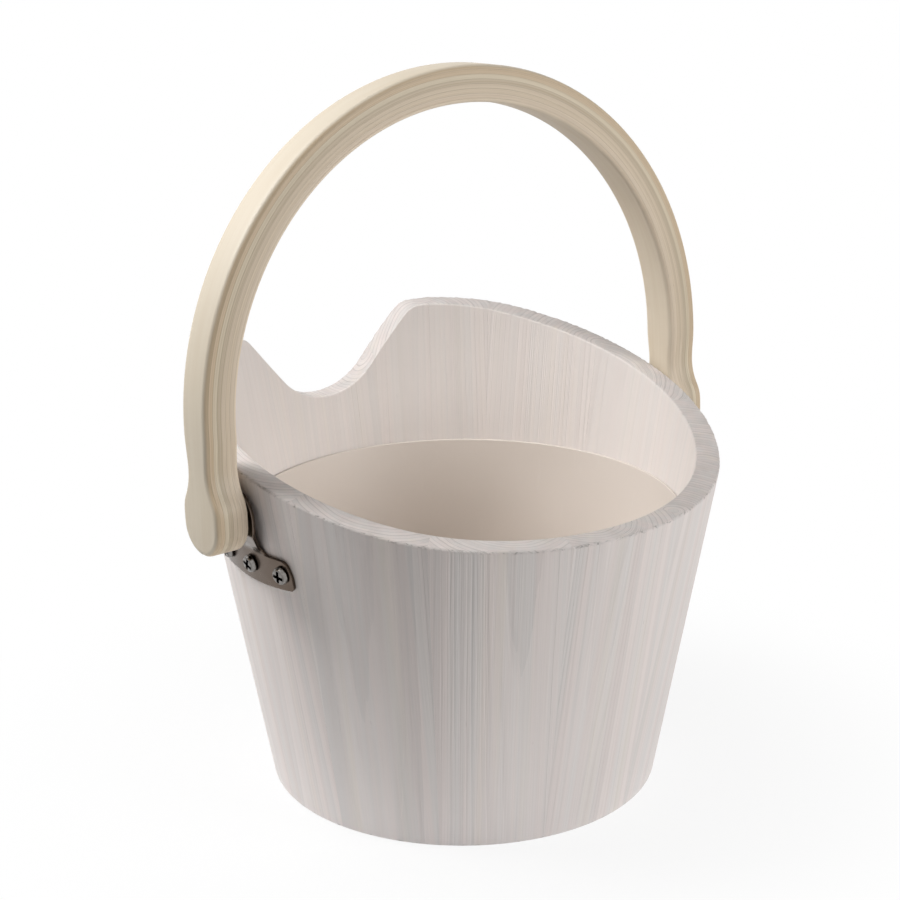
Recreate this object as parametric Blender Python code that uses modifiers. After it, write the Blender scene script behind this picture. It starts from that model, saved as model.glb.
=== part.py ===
"""Sauna bucket: tapered glued staves, a drop-in insert and a bent laminated handle on steel ears.

Metres, +Z up. The bucket stands on the ground with its axis on Z. The handle turns about an
axis along X, the low side of the rim faces -Y, and the notch for a ladle is at the high +Y side.
"""

import math

import bmesh
import bpy
from mathutils import Matrix, Vector

# Clearance between pieces that touch, and between a shank and its hole
FIT = 0.0003

# Staved body
STAVE_COUNT = 12
BASE_RADIUS = 0.100
WALL_SLOPE = 0.180
WALL_THICKNESS = 0.0126
BASE_EDGE_ROUND = 0.002
STAVE_JOINT = 0.0003

# Rim: an S curve along Y, the same at every X, with its two corners this far from the axis
RIM_FRONT_HEIGHT = 0.1623
RIM_BACK_HEIGHT = 0.2163
RIM_FRONT_CORNER = 0.1083
RIM_BACK_CORNER = 0.1060
RIM_FRONT_BLEND = 0.300
RIM_BACK_BLEND = 0.170
BLANK_ALLOWANCE = 0.010

# Ladle notch in the high side
NOTCH_FLOOR_HEIGHT = 0.172
NOTCH_FLOOR_RADIUS = 0.038
NOTCH_FLANK_ANGLE = math.radians(49.0)
NOTCH_LIP_RADIUS = 0.018

# Bottom board in its groove
BOARD_THICKNESS = 0.012
BOARD_HEIGHT = 0.009
GROOVE_DEPTH = 0.005

# Drop-in insert
INSERT_WALL = 0.0016
INSERT_FLOOR = 0.0020
INSERT_TOP_HEIGHT = 0.1404
INSERT_CORNER_RADIUS = 0.010
INSERT_LIP_ROUND = 0.0006
INSERT_SLACK = 0.0005

# Bent laminated handle
HANDLE_PIVOT_HEIGHT = 0.1656
HANDLE_LEAN = math.radians(2.66)
HANDLE_LEG_LENGTH = 0.0435
HANDLE_WIDTH = 0.0202
HANDLE_EDGE_ROUND = 0.0028
PLY_COUNT = 8
PLY_THICKNESS = 0.0021
PLY_GLUE_LINE = 0.0002
LOBE_RADIUS = 0.0150
LOBE_STRAIGHT = 0.0050
WAIST_WIDTH = 0.0176
WAIST_HEIGHT = 0.0265

# Steel bracket: a wall plate with a joggled ear, its edges given by their drop below the pivot
PLATE_THICKNESS = 0.0015
PLATE_UPPER_DROP = 0.0174
PLATE_TIP_DROP = 0.0318
PLATE_LOWER_DROP = 0.0354
PLATE_HALF_WIDTH = 0.0284
PLATE_UPPER_HALF_WIDTH = 0.0262
PLATE_CORNER_ROUND = 0.0045
PLATE_TIP_ROUND = 0.0025
NECK_HALF_WIDTH = 0.0095
NECK_ROUND = 0.003
EAR_RADIUS = 0.0140
EAR_SHOULDER_DROP = 0.0047
EAR_SHOULDER_ROUND = 0.0070
JOGGLE_RISE = 0.0115
JOGGLE_RADIUS = 0.0028
FOOT_LIFT = 0.00005

# Pan-head screws through the plate
SCREW_DROP = 0.0248
SCREW_SPACING = 0.0224
SCREW_HEAD_RADIUS = 0.00475
SCREW_HEAD_HEIGHT = 0.0030
SCREW_SHANK_RADIUS = 0.0020
SCREW_LENGTH = 0.0105

# Shape of a pan head, as shares of its radius and height
CROWN_SHARE = 0.80
CROWN_ROUND_SHARE = 0.55
BRIM_ROUND_SHARE = 0.20

# Pivot screws, whose heads clear the wall behind the ear, and washers
PIVOT_HEAD_RADIUS = 0.0042
PIVOT_HEAD_HEIGHT = 0.0025
PIVOT_HEAD_GAP = 0.0009
PIVOT_SHANK_RADIUS = 0.0022
PIVOT_GRIP = 0.0120
WASHER_RADIUS = 0.0070
WASHER_THICKNESS = 0.0010

# Facet counts
STAVE_FACETS = 8
INSERT_FACETS = 60
SCREW_FACETS = 16
ARC_FACETS = 5
EDGE_FACETS = 3
BEND_FACETS = 4
HEAD_FACETS = 2
RIM_FACETS = 10
NOTCH_FACETS = 8
HANDLE_ARC_FACETS = 32
LEG_FACETS = 8
LOBE_FACETS = 5
LOBE_FLAT_ANGLE = math.radians(10.0)

# Sheet and cutters reach past the outline that trims them by this factor
SPARE = 1.2

# Share of a quarter turn that two corner arcs may take before they meet in one point
NEARLY_ALL = 0.999


def outer_radius(height):
    return BASE_RADIUS + WALL_SLOPE * height


def inner_radius(height):
    return outer_radius(height) - WALL_THICKNESS


# From the wall outwards: the pivot screw's head, the ear, the washer and the handle
EAR_INNER_X = outer_radius(HANDLE_PIVOT_HEIGHT) + PIVOT_HEAD_GAP + PIVOT_HEAD_HEIGHT + FIT
EAR_OUTER_X = EAR_INNER_X + PLATE_THICKNESS
HANDLE_INNER_HALF_WIDTH = EAR_OUTER_X + WASHER_THICKNESS + 2 * FIT
HANDLE_THICKNESS = PLY_COUNT * PLY_THICKNESS + (PLY_COUNT - 1) * PLY_GLUE_LINE

PLATE_UPPER_EDGE = HANDLE_PIVOT_HEIGHT - PLATE_UPPER_DROP
PLATE_TIP_LOWER_EDGE = HANDLE_PIVOT_HEIGHT - PLATE_TIP_DROP
PLATE_LOWER_EDGE = HANDLE_PIVOT_HEIGHT - PLATE_LOWER_DROP
SCREW_HEIGHT = HANDLE_PIVOT_HEIGHT - SCREW_DROP
WALL_ANGLE = math.atan(WALL_SLOPE)
BLANK_TOP = RIM_BACK_HEIGHT + BLANK_ALLOWANCE
CUTTER_REACH = 2 * HANDLE_INNER_HALF_WIDTH

# Each side's turn about Z, and the stave that its bracket is screwed to
SIDES = {"right": (0.0, 0), "left": (math.pi, STAVE_COUNT // 2)}

# An outline in the YZ plane pushed along X, and one in the XZ plane pushed along Y
ALONG_X = Matrix(((0, 0, 1, 0), (1, 0, 0, 0), (0, 1, 0, 0), (0, 0, 0, 1)))
ALONG_Y = Matrix(((1, 0, 0, 0), (0, 0, -1, 0), (0, 1, 0, 0), (0, 0, 0, 1)))


def clear_scene():
    for item in list(bpy.data.objects):
        bpy.data.objects.remove(item)


def new_collection(name):
    collection = bpy.data.collections.new(name)
    bpy.context.scene.collection.children.link(collection)
    return collection


def new_material(name, colour, roughness, metallic=0.0):
    material = bpy.data.materials.new(name)
    material.use_nodes = True
    shader = material.node_tree.nodes["Principled BSDF"]
    shader.inputs["Base Color"].default_value = (*colour, 1.0)
    shader.inputs["Roughness"].default_value = roughness
    shader.inputs["Metallic"].default_value = metallic
    return material


def add_part(name, mesh, material, parent=None):
    part = bpy.data.objects.new(name, mesh)
    if not mesh.materials:
        mesh.materials.append(material)
    PARTS.objects.link(part)
    part.parent = parent
    return part


def add_cutter(name, mesh, matrix=None):
    cutter = bpy.data.objects.new(name, mesh)
    cutter.matrix_world = matrix or Matrix()
    cutter.hide_render = True
    cutter.display_type = "WIRE"
    CUTTERS.objects.link(cutter)
    return cutter


def apply_boolean(part, other, operation="DIFFERENCE"):
    modifier = part.modifiers.new(other.name, "BOOLEAN")
    modifier.operation = operation
    modifier.solver = "EXACT"
    modifier.object = other


def shade_round(mesh, angle=math.radians(35.0)):
    mesh.shade_smooth()
    mesh.set_sharp_from_angle(angle=angle)


def rounded(corners, closed=True, steps=ARC_FACETS):
    """Points of an outline whose corners (x, y, radius) are turned into arcs."""
    points = []
    for index, (x, y, radius) in enumerate(corners):
        corner = Vector((x, y))
        is_end = not closed and index in (0, len(corners) - 1)
        if is_end or radius == 0:
            points.append(corner)
            continue
        before = (Vector(corners[index - 1][:2]) - corner).normalized()
        after = (Vector(corners[(index + 1) % len(corners)][:2]) - corner).normalized()
        half_angle = before.angle(after) / 2
        centre = corner + (before + after).normalized() * radius / math.sin(half_angle)
        first = corner + before * radius / math.tan(half_angle) - centre
        turn = first.angle_signed(corner + after * radius / math.tan(half_angle) - centre)
        for step in range(steps + 1):
            spoke = first.copy()
            spoke.rotate(Matrix.Rotation(-turn * step / steps, 2))
            points.append(centre + spoke)
    return points


def weld(mesh):
    shape = bmesh.new()
    shape.from_mesh(mesh)
    bmesh.ops.remove_doubles(shape, verts=shape.verts, dist=1e-6)
    bmesh.ops.recalc_face_normals(shape, faces=shape.faces)
    shape.to_mesh(mesh)
    shape.free()


def curve_mesh(name, points, half_depth, cyclic):
    """Mesh of a flat outline, filled if cyclic, that reaches half_depth to both sides of its plane."""
    curve = bpy.data.curves.new(name, "CURVE")
    curve.dimensions = "2D"
    curve.fill_mode = "BOTH" if cyclic else "NONE"
    curve.extrude = half_depth
    spline = curve.splines.new("POLY")
    spline.points.add(len(points) - 1)
    spline.use_cyclic_u = cyclic
    for control, (x, y) in zip(spline.points, points):
        control.co = (x, y, 0, 1)
    guide = bpy.data.objects.new(name, curve)
    PARTS.objects.link(guide)
    evaluated = guide.evaluated_get(bpy.context.evaluated_depsgraph_get())
    mesh = bpy.data.meshes.new_from_object(evaluated)
    mesh.name = name
    bpy.data.objects.remove(guide)
    weld(mesh)
    return mesh


def turned_part(name, profile, steps, material, parent=None):
    """A profile of (radius, height) points, run down its outer side, turned about its own Z axis."""
    mesh = bpy.data.meshes.new(name)
    edges = [(index, index + 1) for index in range(len(profile) - 1)]
    mesh.from_pydata([(radius, 0, height) for radius, height in profile], edges, [])
    part = add_part(name, mesh, material, parent)
    screw = part.modifiers.new("turn", "SCREW")
    screw.steps = screw.render_steps = steps
    screw.use_merge_vertices = True
    screw.merge_threshold = 1e-5
    return part


def sector_mesh(name, profile, half_angle, steps):
    """A closed (radius, height) profile swept about Z from -half_angle to +half_angle."""
    shape = bmesh.new()
    corners = [shape.verts.new((radius, 0, height)) for radius, height in profile]
    shape.faces.new(corners)
    start = Matrix.Rotation(-half_angle, 3, "Z")
    bmesh.ops.rotate(shape, verts=shape.verts, cent=(0, 0, 0), matrix=start)
    bmesh.ops.spin(
        shape, geom=shape.verts[:] + shape.edges[:] + shape.faces[:],
        cent=(0, 0, 0), axis=(0, 0, 1), angle=2 * half_angle, steps=steps,
    )
    bmesh.ops.recalc_face_normals(shape, faces=shape.faces)
    mesh = bpy.data.meshes.new(name)
    shape.to_mesh(mesh)
    shape.free()
    return mesh


def rod_mesh(name, radius, low, high, steps=SCREW_FACETS):
    """A closed cylinder on Z between two heights."""
    shape = bmesh.new()
    middle = Matrix.Translation((0, 0, (low + high) / 2))
    bmesh.ops.create_cone(
        shape, cap_ends=True, segments=steps, radius1=radius, radius2=radius,
        depth=high - low, matrix=middle,
    )
    mesh = bpy.data.meshes.new(name)
    shape.to_mesh(mesh)
    shape.free()
    return mesh


# Staved body


def stave_profile():
    """Section of the wall, with a rounded foot and the groove for the bottom board."""
    groove_low = BOARD_HEIGHT - FIT
    groove_high = BOARD_HEIGHT + BOARD_THICKNESS + FIT
    corners = [
        (inner_radius(0), 0, 0),
        (outer_radius(0), 0, BASE_EDGE_ROUND),
        (outer_radius(BLANK_TOP), BLANK_TOP, 0),
        (inner_radius(BLANK_TOP), BLANK_TOP, 0),
        (inner_radius(groove_high), groove_high, 0),
        (inner_radius(groove_high) + GROOVE_DEPTH, groove_high, 0),
        (inner_radius(groove_low) + GROOVE_DEPTH, groove_low, 0),
        (inner_radius(groove_low), groove_low, 0),
    ]
    return rounded(corners, steps=EDGE_FACETS)


def rim_cutter():
    """Everything above the S curve of the rim."""
    above = BLANK_TOP + BLANK_ALLOWANCE
    corners = [
        (-CUTTER_REACH, RIM_FRONT_HEIGHT, 0),
        (-RIM_FRONT_CORNER, RIM_FRONT_HEIGHT, RIM_FRONT_BLEND),
        (RIM_BACK_CORNER, RIM_BACK_HEIGHT, RIM_BACK_BLEND),
        (CUTTER_REACH, RIM_BACK_HEIGHT, 0),
        (CUTTER_REACH, above, 0),
        (-CUTTER_REACH, above, 0),
    ]
    outline = rounded(corners, steps=RIM_FACETS)
    mesh = curve_mesh("rim_cutter", outline, CUTTER_REACH, cyclic=True)
    return add_cutter("rim_cutter", mesh, ALONG_X)


def notch_cutter():
    """The ladle notch: a round floor, sloping flanks and rounded lips, through the +Y side."""
    rise = 1 - math.cos(NOTCH_FLANK_ANGLE)
    run = math.tan(NOTCH_FLANK_ANGLE / 2)
    floor_corner = NOTCH_FLOOR_RADIUS * run
    depth = RIM_BACK_HEIGHT - NOTCH_FLOOR_HEIGHT
    lip_corner = floor_corner + depth / math.tan(NOTCH_FLANK_ANGLE)
    lip_end = lip_corner + NOTCH_LIP_RADIUS * run
    above = BLANK_TOP + 2 * BLANK_ALLOWANCE
    right = [
        (floor_corner, NOTCH_FLOOR_HEIGHT, NOTCH_FLOOR_RADIUS),
        (lip_corner, RIM_BACK_HEIGHT, NOTCH_LIP_RADIUS),
        (lip_end + rise * NOTCH_LIP_RADIUS, RIM_BACK_HEIGHT, 0),
        (lip_end + rise * NOTCH_LIP_RADIUS, above, 0),
    ]
    left = [(-x, z, radius) for x, z, radius in reversed(right)]
    outline = rounded(left + right, steps=NOTCH_FACETS)
    mesh = curve_mesh("notch_cutter", outline, CUTTER_REACH / 2, cyclic=True)
    return add_cutter("notch_cutter", mesh, Matrix.Translation((0, CUTTER_REACH / 2, 0)) @ ALONG_Y)


def build_staves(material):
    half_angle = math.pi / STAVE_COUNT - STAVE_JOINT / (2 * BASE_RADIUS)
    blank = sector_mesh("stave_blank", stave_profile(), half_angle, STAVE_FACETS)
    cutters = (rim_cutter(), notch_cutter())
    staves = []
    for index in range(STAVE_COUNT):
        stave = add_part(f"stave_{index + 1:02d}", blank, material)
        stave.rotation_euler.z = index * 2 * math.pi / STAVE_COUNT
        for cutter in cutters:
            apply_boolean(stave, cutter)
        staves.append(stave)
    return staves


def build_bottom_board(material):
    low = BOARD_HEIGHT
    high = BOARD_HEIGHT + BOARD_THICKNESS
    edge_low = inner_radius(low) + GROOVE_DEPTH - FIT
    edge_high = inner_radius(high) + GROOVE_DEPTH - FIT
    profile = [(0, high), (edge_high, high), (edge_low, low), (0, low)]
    turned_part("bottom_board", profile, INSERT_FACETS, material)


def build_insert(material):
    """A tapered cup that stands on the bottom board and follows the inside of the wall."""
    low = BOARD_HEIGHT + BOARD_THICKNESS + FIT
    top = INSERT_TOP_HEIGHT

    def outside(height):
        return inner_radius(height) - INSERT_SLACK

    inner_corner = INSERT_CORNER_RADIUS - INSERT_WALL
    corners = [
        (0, low + INSERT_FLOOR, 0),
        (outside(low + INSERT_FLOOR) - INSERT_WALL, low + INSERT_FLOOR, inner_corner),
        (outside(top) - INSERT_WALL, top, INSERT_LIP_ROUND),
        (outside(top), top, INSERT_LIP_ROUND),
        (outside(low), low, INSERT_CORNER_RADIUS),
        (0, low, 0),
    ]
    profile = rounded(corners, closed=False, steps=EDGE_FACETS)
    turned_part("insert", profile, INSERT_FACETS, material)


# Laminated handle


def lobe_half_width(height):
    """Half width of the handle's leg over the pivot: round end, straight sides, waist, then full width."""
    waist = WAIST_WIDTH / 2
    full = HANDLE_WIDTH / 2
    rise = WAIST_HEIGHT - LOBE_STRAIGHT
    fillet = (waist**2 + rise**2 - LOBE_RADIUS**2) / (2 * (LOBE_RADIUS - waist))
    tangent = rise * LOBE_RADIUS / (LOBE_RADIUS + fillet)
    over_sides = max(height - LOBE_STRAIGHT, 0.0)
    if over_sides <= tangent:
        return math.sqrt(LOBE_RADIUS**2 - over_sides**2)
    if over_sides <= rise:
        return waist + fillet - math.sqrt(fillet**2 - (over_sides - rise) ** 2)
    share = min((height - WAIST_HEIGHT) / (HANDLE_LEG_LENGTH - WAIST_HEIGHT), 1.0)
    return waist + (full - waist) * share * share * (3 - 2 * share)


def edge_inset(depth):
    """How far the rounded edge pulls the side in at a depth below the handle's outer face."""
    from_face = max(min(depth, HANDLE_THICKNESS - depth), 0.0)
    if from_face >= HANDLE_EDGE_ROUND:
        return 0.0
    return HANDLE_EDGE_ROUND - math.sqrt(HANDLE_EDGE_ROUND**2 - (HANDLE_EDGE_ROUND - from_face) ** 2)


def leg_stations(inset):
    """(height, half width) pairs up one leg, from the round end to the foot of the arch."""
    end_radius = LOBE_RADIUS - inset
    stations = []
    for step in range(LOBE_FACETS):
        angle = LOBE_FLAT_ANGLE + (math.pi / 2 - LOBE_FLAT_ANGLE) * step / LOBE_FACETS
        stations.append((-end_radius * math.cos(angle), end_radius * math.sin(angle)))
    for step in range(LEG_FACETS):
        height = HANDLE_LEG_LENGTH * step / LEG_FACETS
        stations.append((height, lobe_half_width(height) - inset))
    return stations


def bow_line(depth):
    """(x, z, half width) along the whole bow at a depth below its outer face, from -X to +X."""
    inset = edge_inset(depth)
    radius = HANDLE_INNER_HALF_WIDTH + HANDLE_THICKNESS - depth
    leg = leg_stations(inset)
    line = [(-radius, height, half_width) for height, half_width in leg]
    for step in range(HANDLE_ARC_FACETS + 1):
        angle = math.pi * (1 - step / HANDLE_ARC_FACETS)
        x = radius * math.cos(angle)
        z = HANDLE_LEG_LENGTH + radius * math.sin(angle)
        line.append((x, z, HANDLE_WIDTH / 2 - inset))
    line += [(radius, height, half_width) for height, half_width in reversed(leg)]
    return line


def ply_mesh(name, depths):
    """A strip lofted along the bow, with one line of points on each side for every depth."""
    shape = bmesh.new()
    lines = [bow_line(depth) for depth in depths]
    rings = []
    for stations in zip(*lines):
        front = [shape.verts.new((x, -half_width, z)) for x, z, half_width in stations]
        back = [shape.verts.new((x, half_width, z)) for x, z, half_width in reversed(stations)]
        rings.append(front + back)
    for ring, following in zip(rings, rings[1:]):
        count = len(ring)
        for index in range(count):
            after = (index + 1) % count
            shape.faces.new((ring[index], ring[after], following[after], following[index]))
    shape.faces.new(rings[0])
    shape.faces.new(rings[-1])
    bmesh.ops.recalc_face_normals(shape, faces=shape.faces)
    mesh = bpy.data.meshes.new(name)
    shape.to_mesh(mesh)
    shape.free()
    shade_round(mesh)
    return mesh


def build_handle(material, pivot, pivot_holes):
    """The plies, outermost first; the outer and inner ones have an extra line in their rounded edge."""
    pitch = PLY_THICKNESS + PLY_GLUE_LINE
    edge_step = PLY_THICKNESS / EDGE_FACETS
    for index in range(PLY_COUNT):
        outer = index * pitch
        inner = outer + PLY_THICKNESS
        depths = [outer, inner]
        if index == 0:
            depths.insert(1, outer + edge_step)
        if index == PLY_COUNT - 1:
            depths.insert(1, inner - edge_step)
        ply = add_part(f"handle_ply_{index + 1}", ply_mesh("handle_ply", depths), material, pivot)
        if HANDLE_THICKNESS - inner < PIVOT_GRIP:
            for hole in pivot_holes:
                apply_boolean(ply, hole)


# Steel brackets


def plate_outline():
    """Front view of the wall plate: two wings with rounded tips and a lower edge that bows down."""
    right = [
        (PLATE_UPPER_HALF_WIDTH, PLATE_UPPER_EDGE, PLATE_CORNER_ROUND),
        (PLATE_HALF_WIDTH, (PLATE_UPPER_EDGE + PLATE_TIP_LOWER_EDGE) / 2, PLATE_CORNER_ROUND),
        (PLATE_HALF_WIDTH, PLATE_TIP_LOWER_EDGE, PLATE_TIP_ROUND),
    ]
    left = [(-y, z, radius) for y, z, radius in reversed(right)]
    return rounded(right + [(0, PLATE_LOWER_EDGE, PLATE_HALF_WIDTH)] + left)


def ear_outline():
    """Front view of the tab: a round ear that narrows to a neck on the plate."""
    ear_top = HANDLE_PIVOT_HEIGHT + EAR_RADIUS
    shoulder = HANDLE_PIVOT_HEIGHT - EAR_SHOULDER_DROP
    right = [
        (EAR_RADIUS, ear_top, NEARLY_ALL * EAR_RADIUS),
        (EAR_RADIUS, shoulder, EAR_SHOULDER_ROUND),
        (NECK_HALF_WIDTH, PLATE_UPPER_EDGE, NECK_ROUND),
        (NECK_HALF_WIDTH, PLATE_LOWER_EDGE, 0),
    ]
    left = [(-y, z, radius) for y, z, radius in reversed(right)]
    return rounded(right + left)


def tab_path():
    """Side view of the tab, on its face towards the wall: foot on the plate, joggle, upright ear."""
    foot_low = PLATE_UPPER_EDGE - PLATE_THICKNESS
    seat = FIT + FOOT_LIFT
    corners = [
        (outer_radius(foot_low) + seat, foot_low, 0),
        (outer_radius(PLATE_UPPER_EDGE) + seat, PLATE_UPPER_EDGE, JOGGLE_RADIUS),
        (EAR_INNER_X, PLATE_UPPER_EDGE + JOGGLE_RISE, JOGGLE_RADIUS),
        (EAR_INNER_X, HANDLE_PIVOT_HEIGHT + 2 * EAR_RADIUS, 0),
    ]
    return rounded(corners, closed=False, steps=BEND_FACETS)


def plate_mesh():
    """The wall plate's blank: a strip of sheet that follows the wall, before it is trimmed."""
    low = PLATE_LOWER_EDGE - PLATE_THICKNESS
    high = PLATE_UPPER_EDGE + PLATE_THICKNESS
    profile = [
        (outer_radius(low) + FIT, low),
        (outer_radius(low) + FIT + PLATE_THICKNESS, low),
        (outer_radius(high) + FIT + PLATE_THICKNESS, high),
        (outer_radius(high) + FIT, high),
    ]
    half_angle = SPARE * PLATE_HALF_WIDTH / outer_radius(low)
    return sector_mesh("bracket_plate", profile, half_angle, STAVE_FACETS)


def screw_places():
    """Matrices of one bracket's screws, on the plate's outer face with +Z away from the wall."""
    places = []
    seat = FIT + PLATE_THICKNESS
    spread = SCREW_SPACING / outer_radius(SCREW_HEIGHT)
    for turn in (-spread, 0.0, spread):
        point = Vector((outer_radius(SCREW_HEIGHT) + seat / math.cos(WALL_ANGLE), 0, SCREW_HEIGHT))
        tilt = Matrix.Rotation(math.pi / 2 + WALL_ANGLE, 4, "Y")
        places.append(Matrix.Rotation(turn, 4, "Z") @ Matrix.Translation(point) @ tilt)
    return places


def trimmer(name, outline, face):
    """A prism through one side of the bucket, to trim sheet to an outline seen from that side."""
    ahead = Matrix.Translation((CUTTER_REACH / 2, 0, 0)) @ ALONG_X
    return add_cutter(name, outline, face @ ahead)


def build_brackets(material, staves):
    plate = plate_mesh()
    ribbon = curve_mesh("bracket_tab", tab_path(), SPARE * EAR_RADIUS, cyclic=False)
    plate_shape = curve_mesh("plate_outline", plate_outline(), CUTTER_REACH / 2, cyclic=True)
    ear_shape = curve_mesh("ear_outline", ear_outline(), CUTTER_REACH / 2, cyclic=True)
    hole = rod_mesh("screw_hole", SCREW_SHANK_RADIUS + FIT, -SCREW_LENGTH - FIT, SCREW_LENGTH)
    ear_hole = rod_mesh("ear_hole", PIVOT_SHANK_RADIUS + FIT, -2 * PLATE_THICKNESS, 2 * PLATE_THICKNESS)
    across = Matrix.Translation((EAR_OUTER_X, 0, HANDLE_PIVOT_HEIGHT)) @ ALONG_X
    for side, (turn, first) in SIDES.items():
        face = Matrix.Rotation(turn, 4, "Z")
        tab = add_cutter(f"bracket_tab_{side}", ribbon, face @ ALONG_Y)
        thicken = tab.modifiers.new("thickness", "SOLIDIFY")
        thicken.thickness = PLATE_THICKNESS
        thicken.offset = 1.0
        apply_boolean(tab, trimmer(f"ear_outline_{side}", ear_shape, face), "INTERSECT")
        bracket = add_part(f"bracket_{side}", plate, material)
        bracket.matrix_world = face
        apply_boolean(bracket, trimmer(f"plate_outline_{side}", plate_shape, face), "INTERSECT")
        apply_boolean(bracket, tab, "UNION")
        apply_boolean(bracket, add_cutter(f"ear_hole_{side}", ear_hole, face @ across))
        for index, place in enumerate(screw_places()):
            cutter = add_cutter(f"screw_hole_{side}_{index + 1}", hole, face @ place)
            apply_boolean(bracket, cutter)
            apply_boolean(staves[first], cutter)


# Screws and washers


def pan_head_profile(head_radius, head_height, shank_radius, length):
    """Half section of a pan-head screw whose seat is at height 0, head up."""
    tip = shank_radius
    corners = [
        (0, head_height, 0),
        (CROWN_SHARE * head_radius, head_height, CROWN_ROUND_SHARE * head_height),
        (head_radius, FIT, BRIM_ROUND_SHARE * head_height),
        (shank_radius, FIT, 0),
        (shank_radius, tip - length, 0),
        (0, -length, 0),
    ]
    return rounded(corners, closed=False, steps=HEAD_FACETS)


def build_bracket_screws(material):
    profile = pan_head_profile(SCREW_HEAD_RADIUS, SCREW_HEAD_HEIGHT, SCREW_SHANK_RADIUS, SCREW_LENGTH)
    for side, (turn, _) in SIDES.items():
        face = Matrix.Rotation(turn, 4, "Z")
        for index, place in enumerate(screw_places()):
            screw = turned_part(f"bracket_screw_{side}_{index + 1}", profile, SCREW_FACETS, material)
            screw.matrix_world = face @ place


def pivot_hole_cutters(pivot):
    """One blind hole through the inner plies at each end of the bow."""
    hole = rod_mesh("pivot_hole", PIVOT_SHANK_RADIUS + FIT, -WASHER_THICKNESS, PIVOT_GRIP + FIT)
    start = Matrix.Translation((HANDLE_INNER_HALF_WIDTH, 0, 0)) @ ALONG_X
    holes = []
    for side, (turn, _) in SIDES.items():
        face = Matrix.Rotation(turn, 4, "Z")
        holes.append(add_cutter(f"pivot_hole_{side}", hole, pivot.matrix_world @ face @ start))
    return holes


def build_pivots(steel, pivot):
    """A screw from the inside of each ear into the handle's round end, with a washer between."""
    length = HANDLE_INNER_HALF_WIDTH + PIVOT_GRIP - EAR_INNER_X
    head = pan_head_profile(PIVOT_HEAD_RADIUS, PIVOT_HEAD_HEIGHT, PIVOT_SHANK_RADIUS, length)
    bore = PIVOT_SHANK_RADIUS + FIT
    washer_low = EAR_OUTER_X + FIT
    washer_high = washer_low + WASHER_THICKNESS
    ring = [(bore, washer_high), (WASHER_RADIUS, washer_high), (WASHER_RADIUS, washer_low),
            (bore, washer_low), (bore, washer_high)]
    outward = Matrix.Rotation(math.pi / 2, 4, "Y")
    inward = Matrix.Translation((EAR_INNER_X, 0, 0)) @ Matrix.Rotation(-math.pi / 2, 4, "Y")
    for side, (turn, _) in SIDES.items():
        face = Matrix.Rotation(turn, 4, "Z")
        screw = turned_part(f"pivot_screw_{side}", head, SCREW_FACETS, steel, pivot)
        screw.matrix_local = face @ inward
        washer = turned_part(f"pivot_washer_{side}", ring, SCREW_FACETS, steel, pivot)
        washer.matrix_local = face @ outward


def build_pivot_frame():
    """The empty on the handle's axis; the handle stands leaning a little towards the notch."""
    pivot = bpy.data.objects.new("handle_pivot", None)
    PARTS.objects.link(pivot)
    pivot.location.z = HANDLE_PIVOT_HEIGHT
    pivot.rotation_euler.x = -HANDLE_LEAN
    bpy.context.view_layer.update()
    return pivot


def build_bucket():
    whitewash = new_material("whitewashed_pine", (0.62, 0.58, 0.56), 0.6)
    birch = new_material("laminated_birch", (0.74, 0.62, 0.46), 0.5)
    plastic = new_material("insert_plastic", (0.55, 0.47, 0.39), 0.45)
    steel = new_material("stainless_steel", (0.62, 0.60, 0.58), 0.22, 1.0)
    staves = build_staves(whitewash)
    build_bottom_board(whitewash)
    build_insert(plastic)
    build_brackets(steel, staves)
    build_bracket_screws(steel)
    pivot = build_pivot_frame()
    build_handle(birch, pivot, pivot_hole_cutters(pivot))
    build_pivots(steel, pivot)


clear_scene()
PARTS = new_collection("sauna_bucket")
CUTTERS = new_collection("cutters")
build_bucket()
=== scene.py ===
"""Looks of the sauna bucket: whitewashed pine staves, a moulded insert, a laminated bow and steel fittings.

Metres, +Z up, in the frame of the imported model. The low side of the rim faces -Y, the ladle notch
is at the high +Y side, and the handle turns about an axis along X.
"""

import math
import random

import bmesh
import bpy
from mathutils import Matrix, Vector, noise


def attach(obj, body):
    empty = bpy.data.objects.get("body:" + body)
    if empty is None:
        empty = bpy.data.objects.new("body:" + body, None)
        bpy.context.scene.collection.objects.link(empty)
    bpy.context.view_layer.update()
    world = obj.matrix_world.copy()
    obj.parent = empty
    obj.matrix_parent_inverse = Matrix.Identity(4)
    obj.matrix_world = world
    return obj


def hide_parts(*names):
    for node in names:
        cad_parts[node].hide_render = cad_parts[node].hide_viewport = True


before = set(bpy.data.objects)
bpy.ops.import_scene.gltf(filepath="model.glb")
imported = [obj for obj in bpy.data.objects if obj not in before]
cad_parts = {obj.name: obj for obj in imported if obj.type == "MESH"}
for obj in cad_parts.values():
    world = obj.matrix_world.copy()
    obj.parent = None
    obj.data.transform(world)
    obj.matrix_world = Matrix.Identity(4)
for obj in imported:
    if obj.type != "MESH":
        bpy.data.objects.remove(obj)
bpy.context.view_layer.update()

# Camera of the photograph: place, heading from +Y towards +X, downward pitch, roll and lens
CAMERA_PLACE = Vector((-0.63071, -0.80617, 0.50844))
CAMERA_HEADING = 0.65815
CAMERA_PITCH = 0.31880
CAMERA_ROLL = -0.00920
CAMERA_LENS = 85.127
CAMERA_SENSOR = 36.0
CAMERA_CLIP_START = 0.01

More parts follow.
